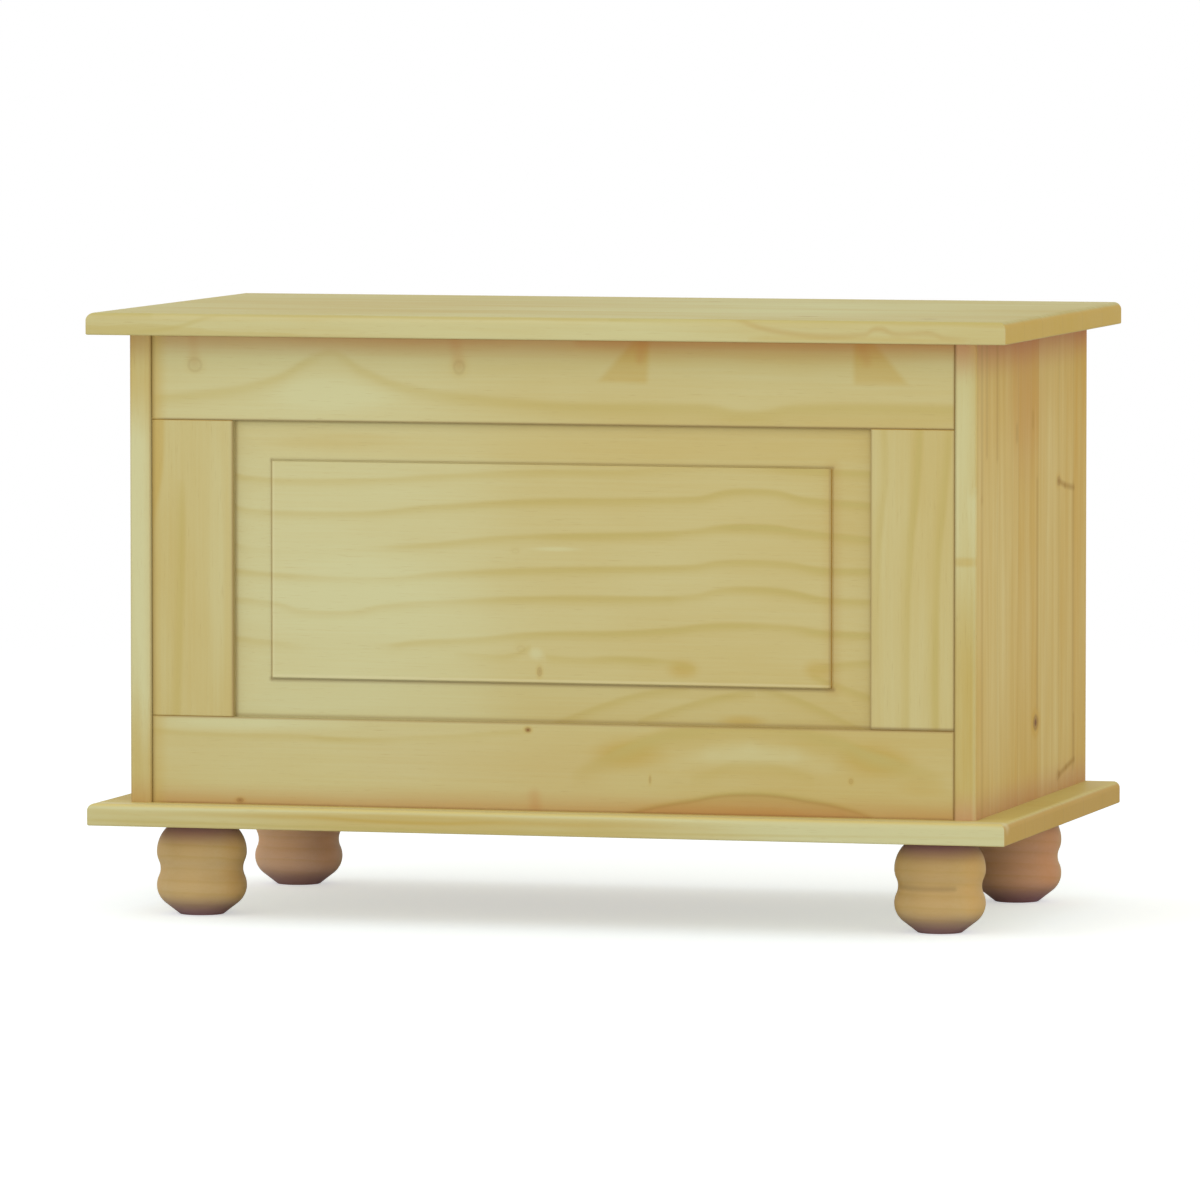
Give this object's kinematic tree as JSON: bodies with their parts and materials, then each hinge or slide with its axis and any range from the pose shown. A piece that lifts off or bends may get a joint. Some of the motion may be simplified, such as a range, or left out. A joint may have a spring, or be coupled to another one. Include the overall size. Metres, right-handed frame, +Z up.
{
  "type": "storage chest",
  "caption": "Pine storage chest with a framed front around a raised panel, solid gables, turned feet and a hinged lid held open by slotted stays.",
  "frame": {"origin": "on the floor under the middle of the whole chest, hinge knuckles included", "axes": "+X to the right as seen from the front, +Y to the back, +Z up"},
  "size_m": [0.85, 0.4874, 0.55],
  "materials": {
    "pine": "satin lacquer",
    "back_plywood": "raw, sanded",
    "dowel_beech": "raw, fluted",
    "hinge_brass": "polished",
    "bright_steel": "zinc plated"
  },
  "bodies": {
    "carcass": {"base_board": "pine", "front_top_rail": "pine", "front_bottom_rail": "pine", "front_panel": "pine", "back_rail": "pine", "back_panel": "back_plywood", "left_gable": "pine", "right_gable": "pine", "left_stile": "pine", "right_stile": "pine", "left_front_foot": "pine", "right_front_foot": "pine", "left_rear_foot": "pine", "right_rear_foot": "pine", "front_rail_dowels": "dowel_beech", "back_rail_dowels": "dowel_beech", "gable_dowels": "dowel_beech", "base_screws": "bright_steel", "foot_bolts": "bright_steel", "hinge_rail_screws": "hinge_brass", "left_hinge_rail_leaf": "hinge_brass", "right_hinge_rail_leaf": "hinge_brass", "left_hinge_pin": "hinge_brass", "right_hinge_pin": "hinge_brass", "left_stay_stud": "bright_steel", "right_stay_stud": "bright_steel"},
    "lid": {"lid_board": "pine", "left_batten": "pine", "right_batten": "pine", "batten_screws": "bright_steel", "bracket_screws": "bright_steel", "hinge_lid_screws": "hinge_brass", "left_hinge_lid_leaf": "hinge_brass", "right_hinge_lid_leaf": "hinge_brass", "left_stay_bracket": "bright_steel", "right_stay_bracket": "bright_steel", "left_stay_rivet": "bright_steel", "right_stay_rivet": "bright_steel"},
    "left_stay": {"left_stay_arm": "bright_steel"},
    "right_stay": {"right_stay_arm": "bright_steel"}
  },
  "joints": [
    {"name": "lid_hinge", "type": "hinge", "parent": "carcass", "child": "lid", "pos_m": [0, 0.2402, 0.53], "axis": [-1, 0, 0], "range_deg": [0, 95]},
    {"name": "left_stay_pivot", "type": "hinge", "parent": "lid", "child": "left_stay", "pos_m": [-0.3695, 0.12066, 0.51954], "axis": [-1, 0, 0], "range_deg": [-47.5, 0]},
    {"name": "right_stay_pivot", "type": "hinge", "parent": "lid", "child": "right_stay", "pos_m": [0.3695, 0.12066, 0.51954], "axis": [-1, 0, 0], "range_deg": [-47.5, 0]}
  ],
  "couplings": [
    {"joint": "left_stay_pivot", "follows": "lid_hinge", "ratio": -0.5},
    {"joint": "right_stay_pivot", "follows": "lid_hinge", "ratio": -0.5}
  ]
}
